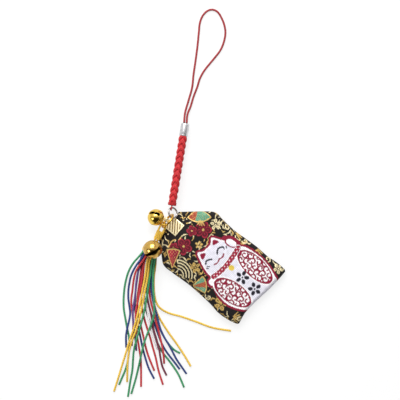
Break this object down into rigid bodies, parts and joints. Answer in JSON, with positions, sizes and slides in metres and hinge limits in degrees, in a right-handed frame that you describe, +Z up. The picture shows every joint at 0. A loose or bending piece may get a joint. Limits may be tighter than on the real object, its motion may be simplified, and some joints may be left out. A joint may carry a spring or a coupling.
{
  "type": "amulet pouch charm",
  "caption": "Small brocade amulet pouch with a crimped clamp, linked rings, a plaited hand strap ending in a thin loop, round pellet bells and a tassel of coloured cords.",
  "frame": {"origin": "middle of the pouch's underside, on the table that the charm lies on", "axes": "+Z up from the table, +Y close to the hand strap's direction away from the pouch, +X to the right of it seen from above"},
  "size_m": [0.0769, 0.1747, 0.0126],
  "materials": {
    "brocade": "woven brocade",
    "card": "matte",
    "paper": "matte",
    "gold": "polished gold plate",
    "silver": "polished plate",
    "pellet_steel": "plain",
    "plait_red": "plaited cord",
    "loop_red": "braided cord",
    "cord_green": "twisted cord",
    "cord_blue": "twisted cord",
    "cord_red": "twisted cord",
    "cord_yellow": "twisted cord",
    "cord_purple": "twisted cord",
    "cord_white": "twisted cord",
    "cord_plum": "twisted cord"
  },
  "bodies": {
    "pouch": {"pouch_bag": "brocade", "inner_card": "card", "prayer_slip": "paper", "top_clamp": "gold"},
    "ring": {"gold_ring": "gold"},
    "link": {"silver_ring": "silver"},
    "strap": {"strap_end_cap": "plait_red", "strap_plait": "plait_red", "strap_ferrule": "silver"},
    "loop": {"loop_cord": "loop_red"},
    "bell_1": {"bell_1_dome": "gold", "bell_1_cup": "gold", "bell_1_loop": "gold"},
    "pellet_1": {"bell_1_pellet": "pellet_steel"},
    "tassel": {"tassel_hanger": "cord_yellow", "tassel_binding": "cord_yellow", "strand_green_1": "cord_green", "strand_green_2": "cord_green", "strand_green_3": "cord_green", "strand_green_4": "cord_green", "strand_green_5": "cord_green", "strand_blue_1": "cord_blue", "strand_blue_2": "cord_blue", "strand_blue_3": "cord_blue", "strand_blue_4": "cord_blue", "strand_red_1": "cord_red", "strand_red_2": "cord_red", "strand_red_3": "cord_red", "strand_red_4": "cord_red", "strand_red_5": "cord_red", "strand_yellow_1": "cord_yellow", "strand_yellow_2": "cord_yellow", "strand_yellow_3": "cord_yellow", "strand_yellow_4": "cord_yellow", "strand_purple_1": "cord_purple", "strand_white_1": "cord_white", "strand_plum_1": "cord_plum"},
    "bell_2": {"bell_2_dome": "gold", "bell_2_cup": "gold", "bell_2_loop": "gold"},
    "pellet_2": {"bell_2_pellet": "pellet_steel"}
  },
  "joints": [
    {"name": "ring_turn", "type": "hinge", "parent": "pouch", "child": "ring", "pos_m": [-0.02145, 0.01768, 0.00488], "axis": [0.7453, -0.6144, -0.2588], "continuous": true},
    {"name": "link_swing", "type": "hinge", "parent": "pouch", "child": "link", "pos_m": [-0.01922, 0.02038, 0.00488], "axis": [0, 0, 1], "range_deg": [-15, 15]},
    {"name": "strap_lift", "type": "hinge", "parent": "link", "child": "strap", "pos_m": [-0.01976, 0.02345, 0.00488], "axis": [0.9871, -0.1599, 0], "range_deg": [0, 75]},
    {"name": "loop_bend", "type": "hinge", "parent": "strap", "child": "loop", "pos_m": [-0.01363, 0.0613, 0.00205], "axis": [0.9871, -0.1599, 0], "range_deg": [0, 60]},
    {"name": "bell_1_swing", "type": "hinge", "parent": "pouch", "child": "bell_1", "pos_m": [-0.02343, 0.01634, 0.00233], "axis": [0, 0, -1], "range_deg": [0, 22]},
    {"name": "pellet_1_roll", "type": "hinge", "parent": "bell_1", "child": "pellet_1", "pos_m": [-0.02673, 0.01926, 0.00519], "axis": [-0.7488, 0.6628, 0], "range_deg": [-40, 40]},
    {"name": "tassel_swing", "type": "hinge", "parent": "pouch", "child": "tassel", "pos_m": [-0.02367, 0.01498, 0.00488], "axis": [0, 0, -1], "range_deg": [0, 30]},
    {"name": "bell_2_lift", "type": "hinge", "parent": "tassel", "child": "bell_2", "pos_m": [-0.02745, 0.0076, 0.00287], "axis": [-0.8842, 0.4671, 0], "range_deg": [0, 30]},
    {"name": "pellet_2_roll", "type": "hinge", "parent": "bell_2", "child": "pellet_2", "pos_m": [-0.02808, 0.00499, 0.00842], "axis": [-0.2366, -0.9716, 0], "range_deg": [-40, 40]}
  ]
}
